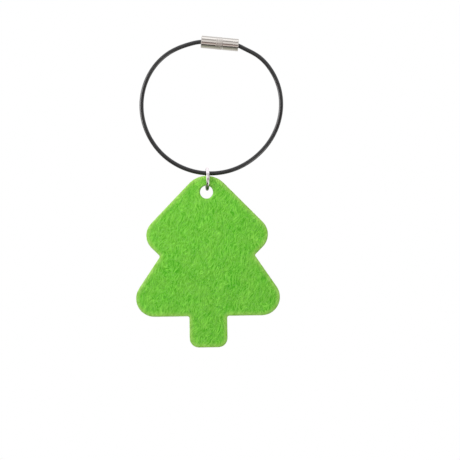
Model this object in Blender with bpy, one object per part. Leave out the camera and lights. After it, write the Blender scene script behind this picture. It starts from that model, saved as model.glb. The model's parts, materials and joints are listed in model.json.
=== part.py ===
# Felt Christmas tree charm on a screw-clasp cable key ring, hanging from the top of its loop.
# Metres. +X is to the right, +Y away from the viewer and +Z up. The loop and the tree lie in the
# XZ plane. The origin is the inner top of the loop, on the clasp's underside, above the jump ring.
# The real screw thread and the lay of the wire rope are left to the looks.

import math

import bmesh
import bpy
import numpy as np
from mathutils import Matrix, Vector

mm = 0.001
degree = math.pi / 180

# Fits shared by several pieces
touch_gap = 0.20 * mm  # between pieces that rest on each other
crimp_gap = 0.10 * mm  # between a crimped tube and the cable in it
coat_gap = 0.05 * mm  # between the wire rope and its coat

# Felt tree, die-cut from one sheet; spans are between corners before they are rounded
felt_thickness = 3.5 * mm
tree_height = 60.0 * mm
apex_radius = 8.4 * mm
upper_span = 47.5 * mm
upper_slope = 45.7 * degree  # of the upper tier's sides, from the horizontal
upper_corner_radius = 6.1 * mm
under_slope = 45.0 * degree  # of the upper tier's underside
notch_width = 33.05 * mm
lower_slope = 55.9 * degree
lower_corner_radius = 6.4 * mm
skirt_depth = 49.05 * mm  # the lower tier's straight edge below the apex
trunk_width = 13.2 * mm
trunk_corner_radius = 3.2 * mm
cut_edge_rounding = 0.25 * mm
hole_diameter = 4.6 * mm
tree_lean = 0.83 * degree

# Jump ring, bent from round wire, its two ends butted
ring_wire = 1.1 * mm
ring_inner_diameter = 6.0 * mm
ring_slit = 0.12 * mm
ring_slit_bearing = -105 * degree  # of the butted ends, from the ring's top, at its back
ring_yaw = 4.5 * degree  # of the hanging ring, out of edge-on
ring_shift = 0.25 * mm  # of the ring along the cable, right of the middle of the tree's hole
apex_gap = 0.15 * mm  # between the tree's apex and the cable above it

# Cable: wire rope with a moulded coat, bent into a loop
cable_diameter = 1.5 * mm
coat_wall = 0.15 * mm
loop_radius = 24.5 * mm
ring_bearing = -3.55 * degree  # of the ring on the loop, from straight down, to the right positive
right_route_shares = ((20, 0.998), (40, 0.995), (60, 1.000), (80, 1.004), (100, 1.000), (120, 0.981),
                      (135, 0.955))
left_route_shares = ((-20, 1.001), (-40, 1.003), (-60, 1.000), (-80, 0.995), (-100, 0.984),
                     (-120, 0.9665), (-140, 0.937))
stud_exit_run = 1.65 * mm  # first free point of the cable past each end of the clasp,
stud_exit_drop = 0.80 * mm  # and how far it lies inside the clasp's axis there
nut_exit_run = 4.05 * mm
nut_exit_drop = 1.25 * mm
cable_step_share = 1.6  # spacing of the tube's points, in cable diameters

# Clasp: a crimped barrel with a threaded stud, and a swivel nut held by a ferrule
barrel_diameter = 4.4 * mm
barrel_chamfer = 0.15 * mm
seam_gap = 0.10 * mm  # between the two barrels, screwed together
seam_offset_share = 0.167  # of the seam from the loop's centre, in loop radii
seam_rise_share = 0.853
clasp_tilt = 5.3 * degree  # right end low
stud_barrel_length = 5.55 * mm
nut_length = 7.45 * mm
stud_core_diameter = 2.5 * mm  # of the stud under its thread
stud_length = 3.2 * mm
stud_tip_chamfer = 0.30 * mm
thread_play = 0.25 * mm  # room that the thread ridges take, between stud and nut
nut_mouth_chamfer = 0.20 * mm
end_wall = 1.2 * mm  # of the nut, round the cable
swivel_play = 0.25 * mm  # between the turning nut's end wall and the cable through it
mouth_flare = 0.45 * mm  # widening of each cable mouth, for the bend there
coat_seat = 1.2 * mm  # straight length of coat held in each crimp
rope_seat = 1.3 * mm  # and of bare rope past it
crimp_groove_depth = 0.06 * mm
crimp_groove_width = 0.24 * mm
crimp_groove_pitch = 0.70 * mm
crimp_groove_count = 2
crimp_groove_inset = 1.10 * mm  # first groove from the barrel's end
ferrule_play = 0.20 * mm
ferrule_chamfer = 0.12 * mm

# Fineness of the round shapes
arc_step = 9 * degree
turned_steps = 36
ring_steps = 56
wire_sides = 12
hole_sides = 40
tube_resolution = 2
edge_segments = 2
sharp_angle = 35 * degree
merge_distance = 0.01 * mm
cut_overrun = 1.0 * mm

# Sizes that follow from those above
cable_radius = cable_diameter / 2
bore_radius = cable_radius - coat_wall
rope_radius = bore_radius - coat_gap
barrel_radius = barrel_diameter / 2
stud_radius = stud_core_diameter / 2
chamber_radius = stud_radius + thread_play
ferrule_radius = chamber_radius - ferrule_play
coat_socket = cable_radius + crimp_gap
rope_socket = rope_radius + crimp_gap
swivel_radius = cable_radius + swivel_play
ring_inner_radius = ring_inner_diameter / 2
ring_radius = ring_inner_radius + ring_wire / 2

# The felt's faces meet the ring's round inside this far above its lowest point, so the web of
# felt between hole and apex fills what the cable and the gaps leave of the ring.
seat_rise = ring_inner_radius - math.sqrt(ring_inner_radius ** 2 - (felt_thickness / 2) ** 2)
hole_top_rise = seat_rise + touch_gap
web = ring_inner_diameter - touch_gap - cable_diameter - apex_gap - hole_top_rise
hole_depth = web + hole_diameter / 2

# Directions of the clasp, and the places of the main points in the loop's own plane
clasp_axis = Vector((math.cos(clasp_tilt), 0, -math.sin(clasp_tilt)))
clasp_outward = Vector((math.sin(clasp_tilt), 0, math.cos(clasp_tilt)))
seam_from_centre = Vector((seam_offset_share, 0, seam_rise_share)) * loop_radius
ring_from_centre = Vector((math.sin(ring_bearing), 0, -math.cos(ring_bearing))) * loop_radius
run_to_origin = (ring_from_centre.x - seam_from_centre.x) / clasp_axis.x
origin_from_centre = Vector((
    ring_from_centre.x, 0,
    seam_from_centre.z + run_to_origin * clasp_axis.z - barrel_radius / clasp_axis.x))
loop_centre = -origin_from_centre
seam_point = loop_centre + seam_from_centre
ring_point = loop_centre + ring_from_centre


def clear_scene():
    for thing in list(bpy.data.objects):
        bpy.data.objects.remove(thing)


def surface(name, colour, roughness, metallic=0.0):
    made = bpy.data.materials.new(name)
    made.use_nodes = True
    shader = made.node_tree.nodes["Principled BSDF"]
    shader.inputs["Base Color"].default_value = (*colour, 1)
    shader.inputs["Roughness"].default_value = roughness
    shader.inputs["Metallic"].default_value = metallic
    return made


def place(thing, parent=None, location=(0, 0, 0), rotation=(0, 0, 0)):
    bpy.context.collection.objects.link(thing)
    thing.parent = parent
    thing.location = location
    thing.rotation_euler = rotation
    return thing


def pivot(name, **where):
    return place(bpy.data.objects.new(name, None), **where)


def solid(name, mesh, finish, **where):
    mesh.name = name
    mesh.materials.append(finish)
    mesh.shade_smooth()
    mesh.set_sharp_from_angle(angle=sharp_angle)
    return place(bpy.data.objects.new(name, mesh), **where)


def mesh_from(shape):
    bmesh.ops.remove_doubles(shape, verts=shape.verts, dist=merge_distance)
    bmesh.ops.recalc_face_normals(shape, faces=shape.faces)
    mesh = bpy.data.meshes.new("shape")
    shape.to_mesh(mesh)
    shape.free()
    return mesh


def cut(thing, cutter):
    cutter.hide_render = True
    cutter.display_type = "WIRE"
    step = thing.modifiers.new("cut", "BOOLEAN")
    step.operation = "DIFFERENCE"
    step.object = cutter


def turned(profile, closed):
    # Turns an outline of (place along X, radius) about the X axis
    shape = bmesh.new()
    corners = [shape.verts.new((along, 0, radius)) for along, radius in profile]
    ends = corners[1:] + corners[:1] if closed else corners[1:]
    edges = [shape.edges.new(pair) for pair in zip(corners, ends)]
    bmesh.ops.spin(shape, geom=corners + edges, cent=(0, 0, 0), axis=(1, 0, 0), dvec=(0, 0, 0),
                   angle=2 * math.pi, steps=turned_steps, use_merge=True)
    return mesh_from(shape)


def rounded_outline(corners):
    # Runs round (x, z, radius) corners and gives each one that has a radius its arc
    outline = []
    for before, corner, after in zip(corners[-1:] + corners[:-1], corners, corners[1:] + corners[:1]):
        here = Vector(corner[:2])
        radius = corner[2]
        if not radius:
            outline.append(here)
            continue
        back = (Vector(before[:2]) - here).normalized()
        onward = (Vector(after[:2]) - here).normalized()
        half = back.angle(onward) / 2
        centre = here + (back + onward).normalized() * radius / math.sin(half)
        arm = here + back * radius / math.tan(half) - centre
        turn = math.copysign(math.pi - 2 * half, -back.cross(onward))
        steps = math.ceil(abs(turn) / arc_step)
        outline += [centre + Matrix.Rotation(turn * k / steps, 2) @ arm for k in range(steps + 1)]
    return outline


def tree_outline():
    # Corners down the right side from the apex at z = 0, then the same on the left
    tip = apex_radius * (1 / math.cos(upper_slope) - 1)
    upper_z = tip - upper_span / 2 * math.tan(upper_slope)
    notch_z = upper_z - (upper_span - notch_width) / 2 * math.tan(under_slope)
    lower_x = notch_width / 2 + (notch_z + skirt_depth) / math.tan(lower_slope)
    side = [(upper_span / 2, upper_z, upper_corner_radius),
            (notch_width / 2, notch_z, 0),
            (lower_x, -skirt_depth, lower_corner_radius),
            (trunk_width / 2, -skirt_depth, 0),
            (trunk_width / 2, -tree_height, trunk_corner_radius)]
    mirrored = [(-x, z, radius) for x, z, radius in reversed(side)]
    return rounded_outline([(0, tip, apex_radius)] + side + mirrored)


def felt_tree(parent):
    shape = bmesh.new()
    front = shape.faces.new([shape.verts.new((x, -felt_thickness / 2, z)) for x, z in tree_outline()])
    grown = bmesh.ops.extrude_face_region(shape, geom=[front], use_keep_orig=True)
    back = [item for item in grown["geom"] if isinstance(item, bmesh.types.BMVert)]
    bmesh.ops.translate(shape, verts=back, vec=(0, felt_thickness, 0))
    rim = [edge for edge in shape.edges if abs(edge.verts[0].co.y - edge.verts[1].co.y) < merge_distance]
    bmesh.ops.bevel(shape, geom=rim, offset=cut_edge_rounding, affect="EDGES", segments=edge_segments,
                    profile=0.5, material=-1)
    felt = surface("lime wool felt", (0.15, 0.49, 0.045), 0.95)
    apex = ring_wire / 2 + hole_top_rise + web
    tree = solid("felt_tree", mesh_from(shape), felt, parent=parent, location=(-ring_shift, 0, apex))
    punch = bmesh.new()
    bmesh.ops.create_cone(punch, cap_ends=True, segments=hole_sides, radius1=hole_diameter / 2,
                          radius2=hole_diameter / 2, depth=felt_thickness + 2 * cut_overrun,
                          matrix=Matrix.Rotation(math.pi / 2, 4, "X"))
    cut(tree, place(bpy.data.objects.new("hole_punch", mesh_from(punch)), parent=tree,
                    location=(0, 0, -hole_depth)))


def jump_ring(parent):
    # A round section carried about the ring's axis, X, from one butted end to the other
    slit_turn = ring_slit / ring_radius
    shape = bmesh.new()
    start = Matrix.Rotation(ring_slit_bearing + slit_turn / 2, 4, "X")
    section = start @ Matrix.Translation((0, 0, ring_radius)) @ Matrix.Rotation(math.pi / 2, 4, "X")
    bmesh.ops.create_circle(shape, cap_ends=True, segments=wire_sides, radius=ring_wire / 2,
                            matrix=section)
    bmesh.ops.spin(shape, geom=shape.faces[:] + shape.edges[:] + shape.verts[:], cent=(0, 0, 0),
                   axis=(1, 0, 0), dvec=(0, 0, 0), angle=2 * math.pi - slit_turn, steps=ring_steps)
    nickel = surface("nickel-plated wire", (0.66, 0.63, 0.60), 0.18, 1.0)
    drop = ring_inner_radius - cable_radius - touch_gap
    return solid("jump_ring", mesh_from(shape), nickel, parent=parent,
                 location=(ring_shift, 0, -drop), rotation=(0, 0, ring_yaw))


def smooth_through(points, first_direction, last_direction):
    # A curve without a jump in its bend through all the points, as a stiff cable lies
    places = np.array([point[:] for point in points])
    runs = np.linalg.norm(np.diff(places, axis=0), axis=1)
    count = len(places)
    matrix = np.eye(count)
    slopes = np.zeros((count, 3))
    slopes[0] = first_direction
    slopes[-1] = last_direction
    for i in range(1, count - 1):
        before, after = runs[i - 1], runs[i]
        matrix[i, i - 1:i + 2] = after, 2 * (before + after), before
        slopes[i] = 3 * (after * (places[i] - places[i - 1]) / before
                         + before * (places[i + 1] - places[i]) / after)
    slopes = np.linalg.solve(matrix, slopes)
    curve = [places[0]]
    for i, run in enumerate(runs):
        steps = math.ceil(run / (cable_step_share * cable_diameter))
        for s in np.linspace(0, 1, steps + 1)[1:]:
            leaving = (1 + 2 * s) * places[i] + s * run * slopes[i]
            arriving = (3 - 2 * s) * places[i + 1] - (1 - s) * run * slopes[i + 1]
            curve.append((1 - s) ** 2 * leaving + s ** 2 * arriving)
    return [Vector(place) for place in curve]


def along_clasp(run, drop=0):
    return seam_point + clasp_axis * run - clasp_outward * drop


def loop_route():
    # From the bend inside the crimped barrel's mouth, round the loop, to the bend inside the nut's
    def on_loop(bearing, share):
        return loop_centre + Vector((math.sin(bearing), 0, -math.cos(bearing))) * loop_radius * share
    stud_face = seam_gap / 2 + stud_barrel_length
    nut_face = seam_gap / 2 + nut_length
    right = [on_loop(bearing * degree, share) for bearing, share in reversed(right_route_shares)]
    left = [on_loop(bearing * degree, share) for bearing, share in left_route_shares]
    points = ([along_clasp(stud_face - end_wall), along_clasp(stud_face + stud_exit_run, stud_exit_drop)]
              + right + [ring_point] + left
              + [along_clasp(-nut_face - nut_exit_run, nut_exit_drop), along_clasp(end_wall - nut_face)])
    return smooth_through(points, clasp_axis, clasp_axis)


def lengthened(route, extra):
    return [route[0] - clasp_axis * extra] + route + [route[-1] + clasp_axis * extra]


def tube(name, route, radius):
    curve = bpy.data.curves.new(name, "CURVE")
    curve.dimensions = "3D"
    curve.bevel_depth = radius
    curve.bevel_resolution = tube_resolution
    curve.use_fill_caps = True
    line = curve.splines.new("POLY")
    line.points.add(len(route) - 1)
    for point, place_on_route in zip(line.points, route):
        point.co = (*place_on_route, 1)
    return bpy.data.objects.new(name, curve)


def tube_mesh(route, radius):
    blank = tube("tube", route, radius)
    mesh = bpy.data.meshes.new_from_object(blank)
    bpy.data.objects.remove(blank)
    return mesh


def cable():
    # The coat ends in each crimp and the bare rope goes on past it
    route = loop_route()
    coat_route = lengthened(route, coat_seat)
    rope_route = lengthened(coat_route, rope_seat)
    coat = solid("cable_jacket", tube_mesh(coat_route, cable_radius),
                 surface("black nylon coat", (0.012, 0.012, 0.014), 0.38))
    cut(coat, place(bpy.data.objects.new("rope_bore", tube_mesh(rope_route, bore_radius))))
    rope = place(tube("cable_core", rope_route, rope_radius))
    rope.data.materials.append(surface("bright steel wire rope", (0.55, 0.55, 0.56), 0.35, 1.0))
    length = sum((b - a).length for a, b in zip(rope_route, rope_route[1:]))
    print(f"cable length {length / mm:.1f} mm")


def crimp_grooves(end):
    # Rings pressed into the barrel, as outline points in order towards its end
    outline = []
    for k in reversed(range(crimp_groove_count)):
        middle = end - crimp_groove_inset - k * crimp_groove_pitch
        outline += [(middle - crimp_groove_width / 2, barrel_radius),
                    (middle, barrel_radius - crimp_groove_depth),
                    (middle + crimp_groove_width / 2, barrel_radius)]
    return outline


def stud_barrel(parent, nickel):
    face = seam_gap / 2
    end = face + stud_barrel_length
    coat_end = end - end_wall - coat_seat
    rope_end = coat_end - rope_seat - crimp_gap
    profile = ([(face - stud_length, 0),
                (face - stud_length, stud_radius - stud_tip_chamfer),
                (face - stud_length + stud_tip_chamfer, stud_radius),
                (face, stud_radius),
                (face, barrel_radius - barrel_chamfer),
                (face + barrel_chamfer, barrel_radius)]
               + crimp_grooves(end)
               + [(end - barrel_chamfer, barrel_radius),
                  (end, barrel_radius - barrel_chamfer),
                  (end, coat_socket + mouth_flare),
                  (end - end_wall, coat_socket),
                  (coat_end - crimp_gap, coat_socket),
                  (coat_end - crimp_gap, rope_socket),
                  (rope_end, rope_socket),
                  (rope_end, 0)])
    solid("stud_barrel", turned(profile, closed=False), nickel, parent=parent)


def nut_barrel(parent, nickel):
    face = -seam_gap / 2
    end = face - nut_length
    profile = [(face, chamber_radius + nut_mouth_chamfer),
               (face, barrel_radius - barrel_chamfer),
               (face - barrel_chamfer, barrel_radius),
               (end + barrel_chamfer, barrel_radius),
               (end, barrel_radius - barrel_chamfer),
               (end, swivel_radius + mouth_flare),
               (end + end_wall, swivel_radius),
               (end + end_wall, chamber_radius),
               (face - nut_mouth_chamfer, chamber_radius)]
    solid("nut_barrel", turned(profile, closed=True), nickel, parent=parent)


def end_ferrule(parent):
    start = -seam_gap / 2 - nut_length + end_wall + touch_gap
    coat_end = start - touch_gap + coat_seat
    end = coat_end + rope_seat
    profile = [(start, coat_socket),
               (start, ferrule_radius - ferrule_chamfer),
               (start + ferrule_chamfer, ferrule_radius),
               (end - ferrule_chamfer, ferrule_radius),
               (end, ferrule_radius - ferrule_chamfer),
               (end, rope_socket),
               (coat_end + crimp_gap, rope_socket),
               (coat_end + crimp_gap, coat_socket)]
    brass = surface("drawn brass tube", (0.60, 0.42, 0.18), 0.35, 1.0)
    solid("end_ferrule", turned(profile, closed=True), brass, parent=parent)


def main():
    clear_scene()
    cable()
    # The clasp's halves are built along X from the seam; the nut side swings on the cable's bend
    clasp_turn = (0, clasp_tilt, 0)
    nickel = surface("satin nickel on brass", (0.58, 0.55, 0.51), 0.28, 1.0)
    stud_barrel(pivot("clasp_axis", location=seam_point, rotation=clasp_turn), nickel)
    loop_hinge = pivot("loop_hinge", location=ring_point)
    free_axis = pivot("nut_axis", parent=loop_hinge, location=seam_point - ring_point,
                      rotation=clasp_turn)
    end_ferrule(free_axis)
    nut_barrel(free_axis, nickel)
    # The ring swings about the cable where it hangs, and the tree about the ring's lowest wire
    ring_hinge = pivot("ring_hinge", location=ring_point)
    jump_ring(ring_hinge)
    wire_depth = 2 * ring_inner_radius - cable_radius - touch_gap + ring_wire / 2
    felt_tree(pivot("tree_hinge", parent=ring_hinge, location=(ring_shift, 0, -wire_depth),
                    rotation=(0, -tree_lean, 0)))


main()
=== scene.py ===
import json
import math

import bmesh
import bpy
import numpy as np
from mathutils import Matrix, Vector, kdtree, noise


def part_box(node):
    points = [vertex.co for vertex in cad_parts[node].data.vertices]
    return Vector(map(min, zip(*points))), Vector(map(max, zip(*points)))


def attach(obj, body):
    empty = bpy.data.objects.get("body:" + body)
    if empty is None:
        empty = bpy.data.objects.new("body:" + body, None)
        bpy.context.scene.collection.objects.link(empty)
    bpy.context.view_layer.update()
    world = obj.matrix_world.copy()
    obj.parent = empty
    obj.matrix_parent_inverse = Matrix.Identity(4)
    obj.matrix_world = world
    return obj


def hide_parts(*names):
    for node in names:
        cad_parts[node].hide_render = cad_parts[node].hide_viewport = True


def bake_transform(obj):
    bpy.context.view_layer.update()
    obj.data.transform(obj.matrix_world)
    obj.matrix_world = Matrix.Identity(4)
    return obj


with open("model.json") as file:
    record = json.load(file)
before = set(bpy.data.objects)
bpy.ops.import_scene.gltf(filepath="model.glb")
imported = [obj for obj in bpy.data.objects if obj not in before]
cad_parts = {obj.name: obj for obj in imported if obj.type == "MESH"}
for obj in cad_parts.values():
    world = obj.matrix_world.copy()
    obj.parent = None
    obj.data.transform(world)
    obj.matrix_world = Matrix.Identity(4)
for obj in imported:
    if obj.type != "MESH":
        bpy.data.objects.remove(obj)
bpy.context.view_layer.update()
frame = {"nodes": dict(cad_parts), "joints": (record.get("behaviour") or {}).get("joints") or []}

mm = 0.001
weldGap = 0.001 * mm  # corners closer than this become one
crispFrom = math.radians(40)  # an edge steeper than this stays sharp
noiseLow, noiseHigh = 0.3, 0.7  # a noise texture seldom leaves this span
joints = {joint["name"]: joint for joint in frame["joints"]}
ringPoint = Vector(joints["ring_swing"]["pos_m"])  # where the jump ring hangs on the cable
seamPoint = Vector(joints["nut_turn"]["pos_m"])  # on the clasp's axis, between its halves
claspAxis = Vector(joints["nut_turn"]["axis"]).normalized()
claspOutward = Vector((-claspAxis.z, 0, claspAxis.x))
claspPlace = Matrix.Translation(seamPoint) @ claspAxis.to_track_quat("X", "Z").to_matrix().to_4x4()


# small helpers for colours, nodes and meshes

def linear(colour):  # sRGB hex to the linear values that a shader takes
    parts = [int(colour[i:i + 2], 16) / 255 for i in (1, 3, 5)]
    return (*[p / 12.92 if p <= 0.04045 else ((p + 0.055) / 1.055) ** 2.4 for p in parts], 1)


def addNode(tree, kind, inputs=None, **settings):
    # A value in inputs is a number, a colour or a link. A Mix node for colours takes its share in
    # socket 0 and the two colours in 6 and 7, and gives the mixed one in output 2
    node = tree.nodes.new(kind)
    for name, value in settings.items():
        setattr(node, name, value)
    for name, value in (inputs or {}).items():
        if isinstance(value, bpy.types.NodeSocket):
            tree.links.new(value, node.inputs[name])
        else:
            node.inputs[name].default_value = value
    return node


def newMaterial(name, **shaderValues):
    made = bpy.data.materials.new(name)
    made.use_nodes = True
    shader = made.node_tree.nodes["Principled BSDF"]
    for socket, value in shaderValues.items():
        shader.inputs[socket.replace("_", " ")].default_value = value
    return made, made.node_tree, shader


def bareMaterial(name):  # one whose nodes are all added here
    made = bpy.data.materials.new(name)
    made.use_nodes = True
    made.node_tree.nodes.clear()
    return made


def addObject(name, data):
    made = bpy.data.objects.new(name, data)
    bpy.context.scene.collection.objects.link(made)
    return made


def finished(name, mesh, material, body, slot, *replaced):  # a piece in its place, riding on its body
    piece = addObject(name, mesh)
    mesh.materials.clear()
    mesh.materials.append(material)
    if replaced:
        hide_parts(*replaced)
    if body:
        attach(piece, body)
    return piece


def weld(bm):  # close the seams and poles, and turn the faces outwards
    bmesh.ops.remove_doubles(bm, verts=bm.verts, dist=weldGap)
    bmesh.ops.recalc_face_normals(bm, faces=bm.faces)


def meshOf(bm, name):
    mesh = bpy.data.meshes.new(name)
    bm.to_mesh(mesh)
    bm.free()
    return mesh


def smoothed(mesh, sharpFrom=crispFrom):
    mesh.shade_smooth()
    mesh.set_sharp_from_angle(angle=sharpFrom)
    return mesh


def applyModifiers(piece):
    shaped = piece.evaluated_get(bpy.context.evaluated_depsgraph_get())
    piece.data = bpy.data.meshes.new_from_object(shaped)
    piece.modifiers.clear()


def searchTree(places):  # finds the nearest of these places
    made = kdtree.KDTree(len(places))
    for i, place in enumerate(places):
        made.insert(place, i)
    made.balance()
    return made


def ramp(value, width):  # 0 at no distance, 1 from this width on
    return min(max(value / width, 0.0), 1.0)


# camera: square on to the loop's plane, as far off as a product picture is taken

cameraValues = {"distance": 1.0, "pixel": 0.35 * mm, "side": 460, "centre": Vector((0.00823, 0, -0.06352)),
                "sensor": 36, "clip": (0.01, 50)}


def makeCamera():
    v = cameraValues
    data = bpy.data.cameras.new("camera")
    data.sensor_width = v["sensor"]
    data.lens = v["sensor"] * v["distance"] / (v["pixel"] * v["side"])
    data.clip_start, data.clip_end = v["clip"]
    camera = addObject("camera", data)
    camera.location = v["centre"] - Vector((0, v["distance"], 0))
    camera.rotation_euler = (math.pi / 2, 0, 0)
    bpy.context.scene.camera = camera


makeCamera()
print("camera made")

# cable: the route of the wire loop, in metres, then its coat and the rope inside

routeValues = {
    "radius": 0.0245, "centre": Vector((0.001517, 0, -0.019209)), "diameter": 0.0015,
    "rightShares": ((20, 0.998), (40, 0.995), (60, 1.000), (80, 1.004), (100, 1.000), (120, 0.981),
                    (135, 0.955)),  # bearing from straight down, radius as a share
    "leftShares": ((-20, 1.001), (-40, 1.003), (-60, 1.000), (-80, 0.995), (-100, 0.984),
                   (-120, 0.9665), (-140, 0.937)),
    "studEnd": 0.0056, "studExit": (0.00165, 0.00080), "nutEnd": 0.0075, "nutExit": (0.00405, 0.00125),
    "endWall": 0.0012, "coatSeat": 0.0012, "ropeSeat": 0.0013,  # how deep the cable sits in the clasp
    "step": 0.25 * mm,
}


def smoothThrough(points, direction):  # a curve with no jump in its bend, as a springy wire lies
    places = np.array([point[:] for point in points])
    runs = np.linalg.norm(np.diff(places, axis=0), axis=1)
    matrix, slopes = np.eye(len(places)), np.zeros((len(places), 3))
    slopes[0] = slopes[-1] = direction
    for i in range(1, len(places) - 1):
        before, after = runs[i - 1], runs[i]
        matrix[i, i - 1:i + 2] = after, 2 * (before + after), before
        slopes[i] = 3 * (after * (places[i] - places[i - 1]) / before
                         + before * (places[i + 1] - places[i]) / after)
    slopes = np.linalg.solve(matrix, slopes)
    curve = [places[0]]
    for i, run in enumerate(runs):
        for s in np.linspace(0, 1, math.ceil(run / routeValues["step"]) + 1)[1:]:
            leaving = (1 + 2 * s) * places[i] + s * run * slopes[i]
            arriving = (3 - 2 * s) * places[i + 1] - (1 - s) * run * slopes[i + 1]
            curve.append((1 - s) ** 2 * leaving + s ** 2 * arriving)
    return [Vector(place) for place in curve]


def cableRoute(seat):  # from inside the crimped barrel, round the loop and into the nut
    v = routeValues

    def onLoop(bearing, share):
        angle = math.radians(bearing)
        return v["centre"] + Vector((math.sin(angle), 0, -math.cos(angle))) * v["radius"] * share

    def alongClasp(run, drop=0):
        return seamPoint + claspAxis * run - claspOutward * drop

    points = [alongClasp(v["studEnd"] - v["endWall"]),
              alongClasp(v["studEnd"] + v["studExit"][0], v["studExit"][1])]
    points += [onLoop(*place) for place in reversed(v["rightShares"])] + [ringPoint]
    points += [onLoop(*place) for place in v["leftShares"]]
    points += [alongClasp(-v["nutEnd"] - v["nutExit"][0], v["nutExit"][1]),
               alongClasp(v["endWall"] - v["nutEnd"])]
    route = smoothThrough(points, claspAxis)
    seats = [claspAxis * run for run in np.linspace(seat, 0, math.ceil(seat / v["step"]) + 1)[:-1]]
    return [route[0] - run for run in seats] + route + [route[-1] + run for run in reversed(seats)]


def lengthsAlong(route):
    steps = [(b - a).length for a, b in zip(route, route[1:])]
    return np.concatenate([[0], np.cumsum(steps)])


def sweptTube(paths, radius, sides, capped):  # a tube along each path, ring after ring
    curve = bpy.data.curves.new("sweep", "CURVE")
    curve.dimensions, curve.twist_mode = "3D", "MINIMUM"
    curve.bevel_depth, curve.use_fill_caps = radius, capped
    curve.bevel_resolution = sides // 2 - 2  # which gives this many sides
    for path in paths:
        line = curve.splines.new("POLY")
        line.points.add(len(path) - 1)
        line.points.foreach_set("co", [x for point in path for x in (*point, 1)])
    blank = bpy.data.objects.new("sweep", curve)
    mesh = bpy.data.meshes.new_from_object(blank)
    bpy.data.objects.remove(blank)
    return mesh


def spreadBend(piece, route):
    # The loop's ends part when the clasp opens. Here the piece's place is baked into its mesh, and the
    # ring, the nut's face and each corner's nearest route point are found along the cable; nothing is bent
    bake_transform(piece)
    along = lengthsAlong(route)
    places = np.array([point[:] for point in route])
    ringAt = along[np.linalg.norm(places - np.array(ringPoint), axis=1).argmin()]
    points = np.array([v.co[:] for v in piece.data.vertices])
    nutFace = np.array(seamPoint - claspAxis * routeValues["nutEnd"])
    nutAt = along[np.linalg.norm(places - nutFace, axis=1).argmin()]
    batches = np.array_split(points, 200)  # so many that each table of distances stays small
    nearest = [((batch[:, None, :] - places[None]) ** 2).sum(2).argmin(1) for batch in batches]


coatValues = {"wall": 0.15 * mm, "sides": 32, "lay": 7.0 * mm, "strands": 6, "relief": 0.003 * mm,
              "dark": "#101011", "light": "#1A1A1B", "roughness": (0.18, 0.34), "patches": 3.5 * mm,
              "specks": 0.35 * mm, "speckDepth": 0.01 * mm}


def blackNylon():
    # Extruded nylon 6 coat, a smooth semi-gloss black: a soft grey sheen along its lit side, with
    # fine rubbed specks and patches that are a little duller
    v = coatValues
    made, tree, shader = newMaterial("extrudedNylonCoat", IOR=1.53, Specular_IOR_Level=0.60)
    place = addNode(tree, "ShaderNodeTexCoord").outputs["Object"]
    specks = addNode(tree, "ShaderNodeTexNoise", {"Vector": place, "Scale": 1 / v["specks"], "Detail": 3})
    patches = addNode(tree, "ShaderNodeTexNoise", {"Vector": place, "Scale": 1 / v["patches"], "Detail": 2})
    colour = addNode(tree, "ShaderNodeMix", {0: patches.outputs["Fac"], 6: linear(v["dark"]),
                                             7: linear(v["light"])}, data_type="RGBA")
    gloss = addNode(tree, "ShaderNodeMapRange", {
        "Value": patches.outputs["Fac"], "From Min": noiseLow, "From Max": noiseHigh,
        "To Min": v["roughness"][0], "To Max": v["roughness"][1]})
    bump = addNode(tree, "ShaderNodeBump", {"Height": specks.outputs["Fac"], "Strength": 0.15,
                                            "Distance": v["speckDepth"]})
    tree.links.new(colour.outputs[2], shader.inputs["Base Color"])
    tree.links.new(gloss.outputs["Result"], shader.inputs["Roughness"])
    tree.links.new(bump.outputs["Normal"], shader.inputs["Normal"])
    return made


def cableCoat():
    v, radius = coatValues, routeValues["diameter"] / 2
    route = cableRoute(routeValues["coatSeat"])
    along = lengthsAlong(route)
    mesh = sweptTube([route], radius, v["sides"], capped=False)
    sides = len(mesh.vertices) // len(route)
    for i, vertex in enumerate(mesh.vertices):  # the strands' lay shows through the thin coat
        ring, side = divmod(i, sides)
        turn = side / sides - along[ring] / v["lay"]
        outward = (vertex.co - route[ring]).normalized()
        vertex.co += outward * v["relief"] * (math.cos(2 * math.pi * v["strands"] * turn) - 1)
    coat = finished("cableCoat", mesh, blackNylon(), None, "black_nylon", "cable_jacket")
    solidify = coat.modifiers.new("wall", "SOLIDIFY")
    solidify.thickness, solidify.offset = v["wall"], -1
    applyModifiers(coat)
    smoothed(coat.data)
    spreadBend(coat, route)


ropeValues = {"radius": 0.55 * mm, "lay": 6.0 * mm, "strands": 6, "strandFill": 0.97, "sides": 8,
              "pointsPerTurn": 12, "sharpFrom": math.radians(60), "dark": "#A8A9AB", "light": "#CDCED0",
              "grain": 0.12 * mm}


def brightRopeWire():
    # Drawn stainless wire laid up in strands: bright steel with darker lines between the strands
    v = ropeValues
    made, tree, shader = newMaterial("strandedSteelRope", Metallic=1, Roughness=0.3)
    place = addNode(tree, "ShaderNodeTexCoord").outputs["Object"]
    grain = addNode(tree, "ShaderNodeTexNoise", {"Vector": place, "Scale": 1 / v["grain"], "Detail": 2})
    colour = addNode(tree, "ShaderNodeMix", {0: grain.outputs["Fac"], 6: linear(v["dark"]),
                                             7: linear(v["light"])}, data_type="RGBA")
    tree.links.new(colour.outputs[2], shader.inputs["Base Color"])
    return made


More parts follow.
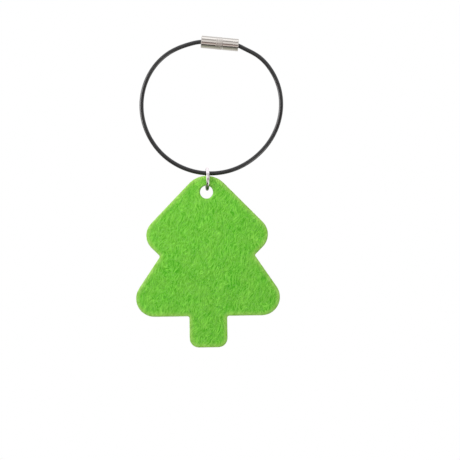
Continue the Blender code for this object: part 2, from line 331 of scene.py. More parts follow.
def wireRope():
    v = ropeValues
    route = cableRoute(routeValues["coatSeat"] + routeValues["ropeSeat"])
    along = lengthsAlong(route)
    strand = v["radius"] / 3  # six strands laid round a seventh
    places = [Vector([np.interp(s, along, [point[k] for point in route]) for k in range(3)])
              for s in np.linspace(0, along[-1], math.ceil(along[-1] / v["lay"] * v["pointsPerTurn"]))]
    across = Vector((0, 1, 0))  # square to the plane that the loop lies in
    paths = [places]
    for k in range(v["strands"]):
        path = []
        for i, place in enumerate(places):
            ahead = (places[min(i + 1, len(places) - 1)] - places[max(i - 1, 0)]).normalized()
            turn = 2 * math.pi * (k / v["strands"] + i / v["pointsPerTurn"])
            path.append(place + (across * math.cos(turn) + ahead.cross(across) * math.sin(turn)) * 2 * strand)
        paths.append(path)
    rope = finished("wireRope", sweptTube(paths, strand * v["strandFill"], v["sides"], capped=True),
                    brightRopeWire(), None, "steel_rope", "cable_core")
    smoothed(rope.data, v["sharpFrom"])
    spreadBend(rope, route)


cableCoat()
wireRope()
print("cable coat and wire rope made")


# turned metal: the two halves of the clasp, the ferrule inside, and the bent jump ring

def turned(profile, closed, steps):  # profile runs along X from the seam, as (place, radius)
    bm = bmesh.new()
    corners = [bm.verts.new((along, 0, radius)) for along, radius in profile]
    pairs = list(zip(corners, corners[1:] + (corners[:1] if closed else [])))
    edges = [bm.edges.new(pair) for pair in pairs]
    bmesh.ops.spin(bm, geom=corners + edges, cent=(0, 0, 0), axis=(1, 0, 0), dvec=(0, 0, 0),
                   angle=2 * math.pi, steps=steps, use_merge=True)
    weld(bm)
    return bm


def metalPiece(name, bm, place, material, body, slot, node):  # moved to its place and smoothed
    bmesh.ops.transform(bm, matrix=place, verts=bm.verts)
    weld(bm)
    finished(name, smoothed(meshOf(bm, name)), material, body, slot, node)


claspValues = {
    "steps": 240, "radius": 2.2 * mm, "chamfer": 0.15 * mm, "gap": 0.10 * mm, "seamChamfer": 0.05 * mm,
    "flare": 0.45 * mm, "coatSocket": 0.85 * mm, "ropeSocket": 0.65 * mm, "crimpGap": 0.10 * mm,
    # the stud's half, with its two pressed grooves
    "grooves": (1.10 * mm, 1.80 * mm), "grooveDepth": 0.06 * mm, "grooveWidth": 0.24 * mm,
    "screwLength": 3.2 * mm, "screwRoot": 1.25 * mm, "screwTip": 0.30 * mm,
    # the thread on the stud and in the nut
    "pitch": 0.45 * mm, "ridge": 0.20 * mm, "chamberRidge": 0.035 * mm,
    "onThread": 0.02 * mm,  # a corner this near to the thread's radius is part of it
    "studRings": 10, "nutRings": 8,  # rings of corners along each pitch
    # the nut's half, with its chamber and grip band
    "swivelRadius": 1.0 * mm, "chamber": 1.50 * mm, "chamberThread": 3.4 * mm, "mouth": 0.20 * mm,
    "bandWidth": 2.3 * mm, "bandStep": 0.06 * mm, "knurls": 60, "knurlDepth": 0.009 * mm,
    "onSkin": 0.01 * mm,  # a corner this near to the outside is part of it
    # the plate, smooth and where it is matt for grip
    "dark": "#CEC8C1", "light": "#D9D3CD", "roughness": (0.08, 0.12), "clouds": 0.8 * mm,
    "latheRings": 0.09 * mm, "latheDepth": 0.0015 * mm, "gripRoughness": 0.40,
    "gripFade": (0.4 * mm, 0.3 * mm),
}


def satinNickel(name, bandFrom, bandTo):
    # Nickel plate on free-turning brass, tumbled: a warm grey metal that keeps crisp long bands of
    # the studio, with fine rings from the lathe and a blurred band where the nut is matt for grip
    v = claspValues
    made, tree, shader = newMaterial(name, Metallic=1)
    place = addNode(tree, "ShaderNodeTexCoord").outputs["Object"]
    lathe = addNode(tree, "ShaderNodeMapping", {"Vector": place, "Location": seamPoint,
                                                "Rotation": claspPlace.to_euler()}, vector_type="TEXTURE")
    along = addNode(tree, "ShaderNodeSeparateXYZ", {"Vector": lathe.outputs["Vector"]}).outputs["X"]
    rings = addNode(tree, "ShaderNodeTexNoise", {"W": along, "Scale": 1 / v["latheRings"], "Detail": 2},
                    noise_dimensions="1D")
    cloud = addNode(tree, "ShaderNodeTexNoise", {"Vector": place, "Scale": 1 / v["clouds"], "Detail": 3})
    colour = addNode(tree, "ShaderNodeMix", {0: cloud.outputs["Fac"], 6: linear(v["dark"]),
                                             7: linear(v["light"])}, data_type="RGBA")
    afterStart = addNode(tree, "ShaderNodeMapRange", {
        "Value": along, "From Min": bandFrom - v["gripFade"][0], "From Max": bandFrom + v["gripFade"][1]})
    beforeEnd = addNode(tree, "ShaderNodeMath", {0: along, 1: bandTo}, operation="LESS_THAN")
    band = addNode(tree, "ShaderNodeMath", {0: afterStart.outputs[0], 1: beforeEnd.outputs[0]},
                   operation="MULTIPLY")
    gloss = addNode(tree, "ShaderNodeMapRange", {
        "Value": cloud.outputs["Fac"], "To Min": v["roughness"][0], "To Max": v["roughness"][1]})
    matt = addNode(tree, "ShaderNodeMapRange", {"Value": band.outputs[0], "To Min": gloss.outputs["Result"],
                                                "To Max": v["gripRoughness"]})
    bump = addNode(tree, "ShaderNodeBump", {"Height": rings.outputs["Fac"], "Strength": 0.25,
                                            "Distance": v["latheDepth"]})
    tree.links.new(colour.outputs[2], shader.inputs["Base Color"])
    tree.links.new(matt.outputs["Result"], shader.inputs["Roughness"])
    tree.links.new(bump.outputs["Normal"], shader.inputs["Normal"])
    return made


def cutThread(bm, start, end, near, depth):  # a helical ridge raised on the rings between start and end
    v = claspValues
    for vertex in bm.verts:
        along, radius = vertex.co.x, math.hypot(vertex.co.y, vertex.co.z)
        if not (start < along < end and abs(radius - near) < v["onThread"]):
            continue
        turn = (along / v["pitch"] - math.atan2(vertex.co.z, vertex.co.y) / (2 * math.pi)) % 1
        height = depth * (1 - abs(2 * turn - 1)) * ramp(min(along - start, end - along), v["pitch"])
        vertex.co.yz *= (radius + height) / radius


def studBarrel():
    v, route = claspValues, routeValues
    face, end = v["gap"] / 2, route["studEnd"]
    coatEnd = end - route["endWall"] - route["coatSeat"]
    ropeEnd = coatEnd - route["ropeSeat"] - v["crimpGap"]
    threadFrom, threadTo = face - v["screwLength"] + v["screwTip"], face
    rings = math.ceil((threadTo - threadFrom) / v["pitch"] * v["studRings"])
    profile = [(face - v["screwLength"], 0), (face - v["screwLength"], v["screwRoot"] - v["screwTip"])]
    profile += [(x, v["screwRoot"]) for x in np.linspace(threadFrom, threadTo, rings)]
    profile += [(face, v["radius"] - v["seamChamfer"]), (face + v["seamChamfer"], v["radius"])]
    for inset in reversed(v["grooves"]):
        profile += [(end - inset - v["grooveWidth"] / 2, v["radius"]),
                    (end - inset, v["radius"] - v["grooveDepth"]),
                    (end - inset + v["grooveWidth"] / 2, v["radius"])]
    profile += [(end - v["chamfer"], v["radius"]), (end, v["radius"] - v["chamfer"]),
                (end, v["coatSocket"] + v["flare"]), (end - route["endWall"], v["coatSocket"]),
                (coatEnd - v["crimpGap"], v["coatSocket"]), (coatEnd - v["crimpGap"], v["ropeSocket"]),
                (ropeEnd, v["ropeSocket"]), (ropeEnd, 0)]
    bm = turned(profile, closed=False, steps=v["steps"] // 2)  # no knurl to carry, so half the steps
    cutThread(bm, threadFrom, threadTo - v["pitch"], v["screwRoot"], v["ridge"])
    metalPiece("studBarrel", bm, claspPlace, satinNickel("nickelPlatedStudBarrel", 0, 0), "loop",
               "satin_nickel", "stud_barrel")


def nutBarrel():
    v, route = claspValues, routeValues
    face, end = -v["gap"] / 2, -route["nutEnd"]
    inner = end + route["endWall"]
    bandFrom = face - v["bandWidth"]
    threadTo = face - v["mouth"]
    threadFrom = threadTo - v["chamberThread"]
    rings = math.ceil(v["chamberThread"] / v["pitch"] * v["nutRings"])
    bandSteps = (bandFrom - v["bandStep"], bandFrom, bandFrom + v["bandStep"])
    profile = [(face, v["chamber"] + v["mouth"]), (face, v["radius"] - v["seamChamfer"]),
               (face - v["seamChamfer"], v["radius"])]
    profile += [(x, v["radius"]) for x in reversed(bandSteps)]
    profile += [(end + v["chamfer"], v["radius"]), (end, v["radius"] - v["chamfer"]),
                (end, v["swivelRadius"] + v["flare"]), (inner, v["swivelRadius"]), (inner, v["chamber"])]
    profile += [(x, v["chamber"]) for x in np.linspace(threadFrom, threadTo, rings)]
    bm = turned(profile, closed=True, steps=v["steps"])
    cutThread(bm, threadFrom, threadTo, v["chamber"], v["chamberRidge"])
    for vertex in bm.verts:  # straight knurl round the grip band
        radius = math.hypot(vertex.co.y, vertex.co.z)
        if radius > v["radius"] - v["onSkin"] and vertex.co.x > bandFrom + v["onSkin"]:
            wave = 0.5 - 0.5 * math.cos(v["knurls"] * math.atan2(vertex.co.z, vertex.co.y))
            vertex.co.yz *= (radius - v["knurlDepth"] * wave) / radius
    metalPiece("nutBarrel", bm, claspPlace, satinNickel("nickelPlatedNut", bandFrom, face), "nut",
               "satin_nickel", "nut_barrel")


ferruleValues = {"radius": 1.3 * mm, "chamfer": 0.12 * mm, "play": 0.3 * mm, "dent": 0.07 * mm,
                 "dentSpread": 2, "dents": (0.3, 0.5, 0.7), "steps": 72, "dark": "#C9A45C",
                 "light": "#D9B870", "tones": 0.15 * mm}


def drawnBrass():
    # Drawn brass tube: bright yellow metal with small shifts of tone from drawing
    v = ferruleValues
    made, tree, shader = newMaterial("drawnBrassTube", Metallic=1, Roughness=0.28)
    place = addNode(tree, "ShaderNodeTexCoord").outputs["Object"]
    tones = addNode(tree, "ShaderNodeTexNoise", {"Vector": place, "Scale": 1 / v["tones"], "Detail": 2})
    colour = addNode(tree, "ShaderNodeMix", {0: tones.outputs["Fac"], 6: linear(v["dark"]),
                                             7: linear(v["light"])}, data_type="RGBA")
    tree.links.new(colour.outputs[2], shader.inputs["Base Color"])
    return made


def endFerrule():
    v, clasp, route = ferruleValues, claspValues, routeValues
    mouth = -route["nutEnd"] + route["endWall"]
    start, coatEnd = mouth + v["play"], mouth + route["coatSeat"]
    end = coatEnd + route["ropeSeat"]
    profile = [(start, clasp["coatSocket"]), (start, v["radius"] - v["chamfer"]),
               (start + v["chamfer"], v["radius"])]
    for share in v["dents"]:  # rings pressed in by the crimping tool
        middle = start + (end - start) * share
        profile += [(middle - v["dent"] * v["dentSpread"], v["radius"]), (middle, v["radius"] - v["dent"]),
                    (middle + v["dent"] * v["dentSpread"], v["radius"])]
    profile += [(end - v["chamfer"], v["radius"]), (end, v["radius"] - v["chamfer"]),
                (end, clasp["ropeSocket"]), (coatEnd + clasp["crimpGap"], clasp["ropeSocket"]),
                (coatEnd + clasp["crimpGap"], clasp["coatSocket"])]
    bm = turned(profile, closed=True, steps=v["steps"])
    metalPiece("endFerrule", bm, claspPlace, drawnBrass(), "free_end", "drawn_brass", "end_ferrule")


ringValues = {"wire": 1.1 * mm, "radius": 3.55 * mm, "slit": 0.12 * mm, "slitBearing": -105, "yaw": 4.5,
              "drop": 2.05 * mm, "shift": 0.25 * mm, "steps": 140, "sides": 24, "arris": 0.05 * mm,
              "roundedFrom": math.radians(35), "shadeFrom": -0.0473, "shadeTo": -0.0485,
              "dark": "#D9D0D3", "light": "#E4DBDF", "paintedShade": "#727B60", "roughness": (0.15, 0.30),
              "clouds": 0.5 * mm}


def brightNickelWire():
    # Nickel-plated steel wire, polished: bright, with soft streaks of the studio, and painted shade,
    # dark olive as if reflecting the felt, on its lowest part where it hangs in the punched hole
    v = ringValues
    made, tree, shader = newMaterial("brightNickelWire", Metallic=1)
    place = addNode(tree, "ShaderNodeTexCoord").outputs["Object"]
    cloud = addNode(tree, "ShaderNodeTexNoise", {"Vector": place, "Scale": 1 / v["clouds"], "Detail": 3})
    colour = addNode(tree, "ShaderNodeMix", {0: cloud.outputs["Fac"], 6: linear(v["dark"]),
                                             7: linear(v["light"])}, data_type="RGBA")
    # painted shade: the base colour turns dark olive towards the ring's bottom, for shade and the felt's
    # reflection in the hole
    height = addNode(tree, "ShaderNodeSeparateXYZ", {"Vector": place}).outputs["Z"]
    inShade = addNode(tree, "ShaderNodeMapRange", {"Value": height, "From Min": v["shadeFrom"],
                                                  "From Max": v["shadeTo"]})
    shaded = addNode(tree, "ShaderNodeMix", {0: inShade.outputs[0], 6: colour.outputs[2],
                                              7: linear(v["paintedShade"])}, data_type="RGBA")
    gloss = addNode(tree, "ShaderNodeMapRange", {
        "Value": cloud.outputs["Fac"], "To Min": v["roughness"][0], "To Max": v["roughness"][1]})
    tree.links.new(shaded.outputs[2], shader.inputs["Base Color"])
    tree.links.new(gloss.outputs["Result"], shader.inputs["Roughness"])
    return made


def jumpRing():
    v = ringValues
    slitTurn = v["slit"] / v["radius"]
    bm = bmesh.new()
    start = Matrix.Rotation(math.radians(v["slitBearing"]) + slitTurn / 2, 4, "X")
    section = start @ Matrix.Translation((0, 0, v["radius"])) @ Matrix.Rotation(math.pi / 2, 4, "X")
    bmesh.ops.create_circle(bm, cap_ends=True, segments=v["sides"], radius=v["wire"] / 2, matrix=section)
    bmesh.ops.spin(bm, geom=bm.faces[:] + bm.edges[:] + bm.verts[:], cent=(0, 0, 0), axis=(1, 0, 0),
                   dvec=(0, 0, 0), angle=2 * math.pi - slitTurn, steps=v["steps"])
    weld(bm)
    cut = [e for e in bm.edges if len(e.link_faces) == 2 and e.calc_face_angle() > v["roundedFrom"]]
    bmesh.ops.bevel(bm, geom=cut, offset=v["arris"], affect="EDGES", segments=3, profile=0.5, material=-1)
    hung = Matrix.Translation(ringPoint + Vector((v["shift"], 0, -v["drop"])))
    place = hung @ Matrix.Rotation(math.radians(v["yaw"]), 4, "Z")
    metalPiece("jumpRing", bm, place, brightNickelWire(), "ring", "bright_nickel", "jump_ring")


studBarrel()
nutBarrel()
endFerrule()
jumpRing()
print("clasp, ferrule and jump ring made")

# felt tree: the die-cut sheet with its matted surface, then its loose fibres

feltValues = {
    "voxel": 0.30 * mm, "wornSteps": 4, "wornBy": 0.5,
    "wallBelow": 0.5,  # a normal with less of Y than this is on the cut wall
    "swell": 0.05 * mm, "swellSize": 5.0 * mm, "edgeRough": 0.04 * mm, "edgeSize": 0.6 * mm,
    # the rim shares paint a highlight on the rounded cut edge, weaker round the punched hole
    "rimWidth": 1.7 * mm, "rimHighlightShare": 0.78, "holeHighlightShare": 0.35, "holeReach": 3.0 * mm, "holeDepth": 5.687 * mm,
    # fibreShade is the darker ground between the streaks, partly painted shade between the fibres
    "fibreShade": "#3F9C10", "fibre": "#93E254", "fibreSpan": (0.47, 0.74), "fibreRelief": 0.10 * mm,
    "swirls": 6.0 * mm, "swirlPush": 4 * mm, "streakDepth": 0.5 * mm,
    "streaks": ((2, 0.30, 3.6), (20, 0.30, 3.4), (40, 0.34, 2.0)),  # degrees, width and length in mm
    "duller": "#50BA28", "yellower": "#8ACA4C", "patches": 5 * mm, "patchShare": 0.22,
    # painted highlight colours for the cut rim, laid in layers along the edge
    "rimHighlightDark": "#93C54A", "rimHighlightPale": "#B8DB7E", "cutLayers": (1.3 * mm, 0.3 * mm, 1.3 * mm),
}


def limeFelt():
    # Needled wool felt, dyed lime: dead matt, with short crossing fibres a little lighter than the
    # ground, whose darkness between them is partly painted shade, cloudy from uneven matting, and a
    # painted highlight on the paler, yellower rim, where the rounded cut edge catches the light. One
    # fibre is too fine to show, so each streak is as coarse as a tuft of them, 0.3 mm
    v = feltValues
    made, tree, shader = newMaterial("needledLimeFelt", Roughness=0.95, IOR=1.45, Specular_IOR_Level=0.15,
                                     Sheen_Weight=0.12, Sheen_Roughness=0.5, Sheen_Tint=linear("#C6F08A"))
    place = addNode(tree, "ShaderNodeTexCoord").outputs["Object"]
    swirl = addNode(tree, "ShaderNodeTexNoise", {"Vector": place, "Scale": 1 / v["swirls"], "Detail": 1})
    centred = addNode(tree, "ShaderNodeVectorMath", {0: swirl.outputs["Color"], 1: (0.5, 0.5, 0.5)},
                      operation="SUBTRACT")
    pushed = addNode(tree, "ShaderNodeVectorMath", {0: centred.outputs[0], 1: (v["swirlPush"],) * 3},
                     operation="MULTIPLY")
    swept = addNode(tree, "ShaderNodeVectorMath", {0: place, 1: pushed.outputs[0]}, operation="ADD")
    streaks = None
    for angle, width, length in v["streaks"]:  # each layer lies at its angle and starts elsewhere
        laid = addNode(tree, "ShaderNodeMapping", {
            "Vector": swept.outputs[0], "Rotation": (0, math.radians(angle), 0),
            "Location": (angle * mm, 0, 0),
            "Scale": (width * mm, v["streakDepth"], length * mm)}, vector_type="TEXTURE")
        layer = addNode(tree, "ShaderNodeTexNoise", {"Vector": laid.outputs[0], "Scale": 1, "Detail": 1,
                                                     "Roughness": 0.5}).outputs["Fac"]
        streaks = layer if streaks is None else addNode(tree, "ShaderNodeMath", {0: streaks, 1: layer},
                                                        operation="MAXIMUM").outputs[0]
    fibres = addNode(tree, "ShaderNodeMapRange", {"Value": streaks, "From Min": v["fibreSpan"][0],
                                                  "From Max": v["fibreSpan"][1]})
    patches = addNode(tree, "ShaderNodeTexNoise", {"Vector": place, "Scale": 1 / v["patches"], "Detail": 2})
    cloudy = addNode(tree, "ShaderNodeMapRange", {"Value": patches.outputs["Fac"], "From Min": noiseLow,
                                                  "From Max": noiseHigh})
    # painted shade: the dark ground between the light streaks stands partly for shade between the fibres
    fibreShade = addNode(tree, "ShaderNodeMix", {0: fibres.outputs[0], 6: linear(v["fibreShade"]),
                                             7: linear(v["fibre"])}, data_type="RGBA")
    hue = addNode(tree, "ShaderNodeMix", {0: cloudy.outputs[0], 6: linear(v["duller"]),
                                          7: linear(v["yellower"])}, data_type="RGBA")
    dyed = addNode(tree, "ShaderNodeMix", {0: v["patchShare"], 6: fibreShade.outputs[2], 7: hue.outputs[2]},
                   data_type="RGBA")
    # painted highlight: the rim takes a paler, yellower colour for the light its rounded cut edge catches
    edge = addNode(tree, "ShaderNodeAttribute", attribute_name="rimHighlight")
    paler = addNode(tree, "ShaderNodeMath", {0: edge.outputs["Fac"], 1: v["rimHighlightShare"]}, operation="MULTIPLY")
    stacked = addNode(tree, "ShaderNodeMapping", {"Vector": place, "Scale": v["cutLayers"]},
                      vector_type="TEXTURE")
    layers = addNode(tree, "ShaderNodeTexNoise", {"Vector": stacked.outputs[0], "Scale": 1, "Detail": 2})
    layered = addNode(tree, "ShaderNodeMapRange", {"Value": layers.outputs["Fac"], "From Min": noiseLow,
                                                   "From Max": noiseHigh})
    cut = addNode(tree, "ShaderNodeMix", {0: layered.outputs[0], 6: linear(v["rimHighlightDark"]),
                                          7: linear(v["rimHighlightPale"])}, data_type="RGBA")
    colour = addNode(tree, "ShaderNodeMix", {0: paler.outputs[0], 6: dyed.outputs[2], 7: cut.outputs[2]},
                     data_type="RGBA")
    bump = addNode(tree, "ShaderNodeBump", {"Height": fibres.outputs[0], "Strength": 0.7,
                                            "Distance": v["fibreRelief"]})
    tree.links.new(colour.outputs[2], shader.inputs["Base Color"])
    tree.links.new(bump.outputs["Normal"], shader.inputs["Normal"])
    return made


def feltTree():
    v = feltValues
    bm = bmesh.new()
    bm.from_mesh(frame["nodes"]["felt_tree"].data)
    bmesh.ops.remove_doubles(bm, verts=bm.verts, dist=weldGap)
    felt = limeFelt()
    tree = finished("feltTree", meshOf(bm, "feltTree"), felt, "tree", "lime_felt", "felt_tree")
    remesh = tree.modifiers.new("matting", "REMESH")
    remesh.mode, remesh.voxel_size, remesh.adaptivity = "VOXEL", v["voxel"], 0
    smooth = tree.modifiers.new("worn", "SMOOTH")
    smooth.factor, smooth.iterations = v["wornBy"], v["wornSteps"]
    applyModifiers(tree)
    vertices = tree.data.vertices
    normals = [vertex.normal.copy() for vertex in vertices]
    wall = [vertex.co.copy() for vertex, normal in zip(vertices, normals) if abs(normal.y) < v["wallBelow"]]
    nearWall = searchTree(wall)
    top = max(place.z for place in wall)
    hole = Vector((0, 0, top - v["holeDepth"]))
    rim, tint = [], []
    for vertex, normal in zip(vertices, normals):
        flat = abs(normal.y)
        nearest, number, away = nearWall.find(vertex.co)
        rim.append(1 - ramp(away, v["rimWidth"]))
        punched = math.hypot(nearest.x - hole.x, nearest.z - hole.z) < v["holeReach"]
        tint.append(rim[-1] * (v["holeHighlightShare"] if punched else 1))
        swell = v["swell"] * noise.noise(vertex.co / v["swellSize"])
        rough = noise.noise(vertex.co / v["edgeSize"])
        vertex.co += normal * (swell * flat + v["edgeRough"] * rough * (1 - flat))
    # rimHighlight is a painted highlight on the rim, where the rounded cut edge catches the light, weaker
    # round the punched hole, which lies in the ring's and cable's shade; nearEdge guides the loose fibres
    tree.data.attributes.new("rimHighlight", "FLOAT", "POINT").data.foreach_set("value", tint)
    tree.data.attributes.new("nearEdge", "FLOAT", "POINT").data.foreach_set("value", rim)
    tree.data.materials.clear()
    tree.data.materials.append(felt)
    tree.data.shade_smooth()
    return tree


fibreValues = {"perFace": 3600, "seed": 11, "radius": 0.04 * mm, "sides": 4, "points": 5,
               "length": (0.7 * mm, 1.7 * mm), "lean": 0.45, "swirls": 6 * mm, "curl": 0.35, "wander": 0.12,
               "rise": 0.07 * mm, "sunk": 0.05 * mm, "clearOfEdge": 0.35 * mm,
               "flatFrom": 0.8,  # a normal with more of Y than this is on a flat face
               "offRim": 0.5,  # a fibre starts where nearEdge is less
               "atEdge": 0.8,  # and keeps clear of where it is more
               "dark": "#63B438", "light": "#9ADF62", "dyeShifts": 1.3 * mm}


def woolFibre():
    # Single dyed wool fibres, drawn about twice as coarse as real ones so that they show: matt, a
    # touch lighter than the felt under them, partly a painted highlight for fibres lying on top in the light
    v = fibreValues
    made, tree, shader = newMaterial("looseWoolFibre", Roughness=0.9, IOR=1.45, Specular_IOR_Level=0.2,
                                     Sheen_Weight=0.2)
    place = addNode(tree, "ShaderNodeTexCoord").outputs["Object"]
    dye = addNode(tree, "ShaderNodeTexNoise", {"Vector": place, "Scale": 1 / v["dyeShifts"], "Detail": 1})
    # painted highlight: the fibres' colours are set lighter than the felt for the light they catch on top
    colour = addNode(tree, "ShaderNodeMix", {0: dye.outputs["Fac"], 6: linear(v["dark"]),
                                             7: linear(v["light"])}, data_type="RGBA")
    tree.links.new(colour.outputs[2], shader.inputs["Base Color"])
    return made


def looseFibres(tree, name, facing, material):  # short fibres that lie matted on one face of the sheet
    v = fibreValues
    random = np.random.default_rng(v["seed"] + facing)
    rim = np.zeros(len(tree.data.vertices), np.float32)
    tree.data.attributes["nearEdge"].data.foreach_get("value", rim)
    faces = [f for f in tree.data.polygons
             if f.normal.y * facing > v["flatFrom"] and rim[f.vertices[0]] < v["offRim"]]
    nearEdge = searchTree([tree.data.vertices[i].co.copy() for i in np.flatnonzero(rim > v["atEdge"])])
    normal = Vector((0, facing, 0))
    paths = []
    while len(paths) < v["perFace"]:
        place = faces[int(random.integers(len(faces)))].center.copy()
        swirl = noise.noise(place / v["swirls"]) * math.pi * v["lean"]
        lean = swirl + random.normal() * v["lean"]
        aim = Vector((math.sin(lean), 0, math.cos(lean)))
        length, curl = random.uniform(*v["length"]), random.normal() * v["curl"]
        path = []
        for i in range(v["points"]):
            share = i / (v["points"] - 1)
            arch = 4 * share * (1 - share)  # 1 halfway, 0 at both ends, which lie in the felt
            path.append(place + normal * (v["rise"] * arch - v["sunk"]))
            aim = Matrix.Rotation(curl + random.normal() * v["wander"], 3, normal) @ aim
            place = place + aim * length / (v["points"] - 1)
        if all(nearEdge.find(point)[2] > v["clearOfEdge"] for point in path):
            paths.append(path)
    mesh = sweptTube(paths, v["radius"], v["sides"], capped=True)
    mesh.shade_smooth()
    return finished(name, mesh, material, "tree", "lime_felt")


feltSheet = feltTree()
print("felt sheet made")
wool = woolFibre()
fuzz = [looseFibres(feltSheet, "frontFibres", -1, wool), looseFibres(feltSheet, "backFibres", 1, wool)]
print("loose fibres made")

# studio: soft white light, a pale floor far below, grey cards that draw the long dark lines on the
# metal, and small strips that each put a gleam on one piece

studioValues = {
    "ambient": 0.50, "keyPlace": Vector((-0.13, -0.17, 0.09)), "keySize": 0.22, "keyPower": 0.57,
    "fillPlace": Vector((0.55, -0.65, 0.05)), "fillSize": 0.5, "fillPower": 0.3,
    "floorDrop": 0.25, "floorSize": 1.2, "floorSides": 96, "floorFade": (0.35, 0.9), "floorPaint": "#F6F6F6",
    "cardRadius": 0.30, "cardHalfLength": 0.8, "cardSteps": 12, "stripRadius": 0.28,
    # elevation as seen from the clasp, from the camera's side over the top: from, to, how bright, tint
    "cards": ((64, 100, 1.50, "#FAFCFF"), (100, 138, 0.84, "#FAFCFF"), (138, 178, 1.15, "#FFFFFF"),
              (38, 59, 0.48, "#FFFFFF"), (-16, 3, 0.24, "#FFE9E6"), (-33, -16, 0.68, "#FFEFEA"),
              (-68, -40, 0.10, "#FFFBEC"), (-96, -68, 0.42, "#FCFFF2"), (-128, -96, 0.68, "#FCFFF6"),
              (-180, -128, 0.80, "#FFFFFF")),
    # bearing to the right, height, half width and half height in degrees, how bright, the piece lit
    "strips": ((-64, 0, 21, 18, 4.6, "cableCoat"), (56, -45, 16, 14, 3.2, "cableCoat"),
               (-125, 0, 25, 30, 1.3, "cableCoat"), (-92, 8, 28, 24, 1.3, "jumpRing"),
               (80, -45, 26, 18, 1.5, "jumpRing"), (0, 118, 60, 26, 0.6, "jumpRing")),
}


def addStage(name, bm, material):  # a card, a strip or the floor, which isn't part of the object
    mesh = meshOf(bm, name)
    mesh.materials.append(material)
    thing = addObject(name, mesh)
    return thing


def addCard(name, bm, level, tint, onlyFor=None):  # onlyFor is the one piece that the card shines on
    bmesh.ops.translate(bm, verts=bm.verts, vec=seamPoint)
    made = bareMaterial("cardGrey")
    tree = made.node_tree
    glow = addNode(tree, "ShaderNodeEmission", {"Color": linear(tint), "Strength": level}).outputs[0]
    card = addStage(name, bm, made)
    if onlyFor:  # the other pieces look through it
        clear = addNode(tree, "ShaderNodeBsdfTransparent").outputs[0]
        glow = addNode(tree, "ShaderNodeAddShader", {0: glow, 1: clear}).outputs[0]
        card.light_linking.receiver_collection = bpy.data.collections.new(f"{name}ShinesOn")
        card.light_linking.receiver_collection.objects.link(onlyFor)
    addNode(tree, "ShaderNodeOutputMaterial", {"Surface": glow})
    # it shows in gloss alone
    card.visible_camera = card.visible_diffuse = card.visible_shadow = False
    card.visible_transmission = card.visible_volume_scatter = False


def makeCards():
    v = studioValues
    for number, (low, high, level, tint) in enumerate(v["cards"]):
        bm = bmesh.new()
        start = Matrix.Rotation(math.radians(-low), 3, "X") @ Vector((0, -v["cardRadius"], 0))
        ends = [bm.verts.new(start + Vector((side * v["cardHalfLength"], 0, 0))) for side in (-1, 1)]
        edge = bm.edges.new(ends)
        bmesh.ops.spin(bm, geom=ends + [edge], cent=(0, 0, 0), axis=(1, 0, 0), dvec=(0, 0, 0),
                       angle=math.radians(low - high), steps=v["cardSteps"])
        addCard(f"card{number}", bm, level, tint)
    for number, (bearing, height, width, tall, level, piece) in enumerate(v["strips"]):
        bm = bmesh.new()
        place = Matrix.Rotation(math.radians(bearing), 4, "Z")
        place = place @ Matrix.Rotation(math.radians(-height), 4, "X")
        place = place @ Matrix.Translation((0, -v["stripRadius"], 0)) @ Matrix.Rotation(math.pi / 2, 4, "X")
        halfSides = [v["stripRadius"] * math.tan(math.radians(half)) for half in (width, tall)]
        bmesh.ops.create_grid(bm, x_segments=1, y_segments=1, size=1,
                              matrix=place @ Matrix.Diagonal((*halfSides, 1, 1)))
        addCard(f"strip{number}", bm, level, "#FFFFFF", onlyFor=bpy.data.objects[piece])


def makeLamp(name, place, size, power):  # its round glare stays out of the metal
    data = bpy.data.lights.new(name, "AREA")
    data.shape, data.size, data.energy = "DISK", size, power
    lamp = addObject(name, data)
    lamp.location = place
    aim = cameraValues["centre"] - place
    lamp.rotation_euler = aim.to_track_quat("-Z", "Y").to_euler()
    lamp.visible_glossy = False


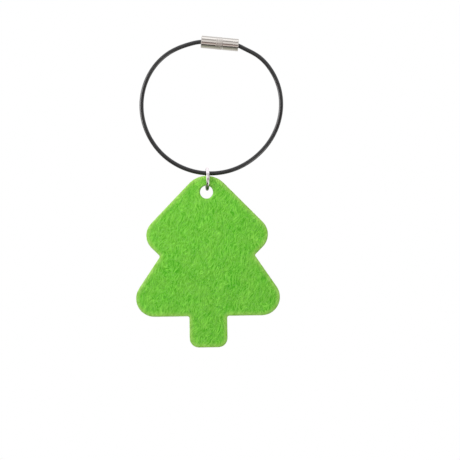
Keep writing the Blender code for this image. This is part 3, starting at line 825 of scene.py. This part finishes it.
def makeWorld():  # white to the camera, gloss and glass, and soft light for the rest
    world = bpy.data.worlds.new("studio")
    bpy.context.scene.world = world
    world.use_nodes = True
    tree = world.node_tree
    tree.nodes.clear()
    ray = addNode(tree, "ShaderNodeLightPath").outputs
    seen = addNode(tree, "ShaderNodeMath", {0: ray["Is Camera Ray"], 1: ray["Is Glossy Ray"]},
                   operation="MAXIMUM")
    seen = addNode(tree, "ShaderNodeMath", {0: seen.outputs[0], 1: ray["Is Transmission Ray"]},
                   operation="MAXIMUM")
    level = addNode(tree, "ShaderNodeMapRange", {"Value": seen.outputs[0], "To Min": studioValues["ambient"],
                                                 "To Max": 1})
    light = addNode(tree, "ShaderNodeBackground", {"Color": (1, 1, 1, 1), "Strength": level.outputs[0]})
    addNode(tree, "ShaderNodeOutputWorld", {"Surface": light.outputs[0]})


def makeFloor():  # pale under the object, fading into the white round it
    v = studioValues
    bm = bmesh.new()
    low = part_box("felt_tree")[0].z - v["floorDrop"]
    bmesh.ops.create_circle(bm, cap_ends=True, segments=v["floorSides"], radius=v["floorSize"],
                            matrix=Matrix.Translation((0, 0, low)))
    made = bareMaterial("paleFloor")
    tree = made.node_tree
    ray = addNode(tree, "ShaderNodeLightPath").outputs
    seen = addNode(tree, "ShaderNodeMath", {0: ray["Is Glossy Ray"], 1: ray["Is Transmission Ray"]},
                   operation="MAXIMUM")
    spot = addNode(tree, "ShaderNodeTexCoord").outputs["Object"]
    away = addNode(tree, "ShaderNodeVectorMath", {0: spot, 1: (1, 1, 0)}, operation="MULTIPLY")
    away = addNode(tree, "ShaderNodeVectorMath", {0: away.outputs[0]}, operation="LENGTH")
    fade = addNode(tree, "ShaderNodeMapRange", {"Value": away.outputs["Value"], "From Min": v["floorFade"][0],
                                                "From Max": v["floorFade"][1]})
    white = addNode(tree, "ShaderNodeMath", {0: seen.outputs[0], 1: fade.outputs[0]}, operation="MAXIMUM")
    paint = addNode(tree, "ShaderNodeBsdfDiffuse", {"Color": linear(v["floorPaint"])})
    glow = addNode(tree, "ShaderNodeEmission", {"Color": (1, 1, 1, 1), "Strength": 1})
    mixed = addNode(tree, "ShaderNodeMixShader", {0: white.outputs[0], 1: paint.outputs[0],
                                                  2: glow.outputs[0]})
    addNode(tree, "ShaderNodeOutputMaterial", {"Surface": mixed.outputs[0]})
    addStage("floor", bm, made)


makeWorld()
makeFloor()
makeCards()
makeLamp("keySoftbox", studioValues["keyPlace"], studioValues["keySize"], studioValues["keyPower"])
makeLamp("fillSoftbox", studioValues["fillPlace"], studioValues["fillSize"], studioValues["fillPower"])
bpy.context.scene.view_settings.view_transform = "Standard"
print("studio made")
